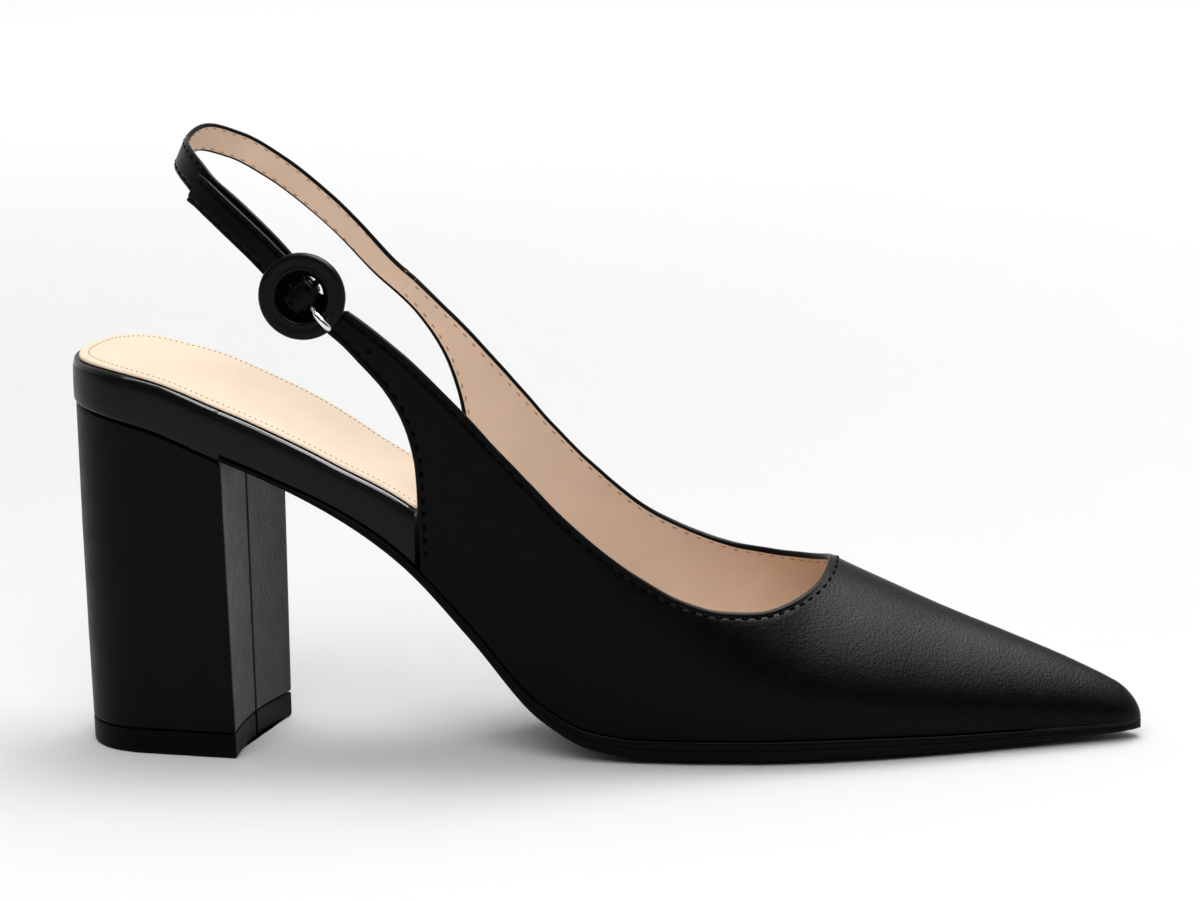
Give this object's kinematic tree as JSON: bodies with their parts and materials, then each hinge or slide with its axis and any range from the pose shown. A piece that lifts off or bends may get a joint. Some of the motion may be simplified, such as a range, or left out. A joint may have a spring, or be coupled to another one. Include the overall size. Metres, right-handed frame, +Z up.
{
  "type": "slingback pump",
  "caption": "Slingback pump with a pointed toe, a tall wrapped block heel and a strap that fastens with a round covered buckle on the outer side.",
  "frame": {"origin": "on the floor under the middle of the heel's top piece", "axes": "+X to the toe, +Y to the medial side, +Z up"},
  "size_m": [0.2458, 0.0761, 0.1435],
  "materials": {
    "black_leather": "fine grain, satin",
    "strap_leather": "fine grain, satin",
    "wrap_leather": "smooth, satin",
    "heel_leather": "fine grain, satin",
    "cream_lining": "soft, matte",
    "sole_rubber": "matte",
    "tread_rubber": "matte",
    "covered_ring": "leather-covered metal, satin",
    "polished_metal": "polished"
  },
  "bodies": {
    "root": {"outsole": "sole_rubber", "heel_block": "heel_leather", "heel_top_piece": "tread_rubber", "footbed": "wrap_leather", "sock": "cream_lining", "upper": "black_leather", "sling_strap": "strap_leather", "buckle": "covered_ring", "buckle_prong": "polished_metal"}
  },
  "joints": []
}
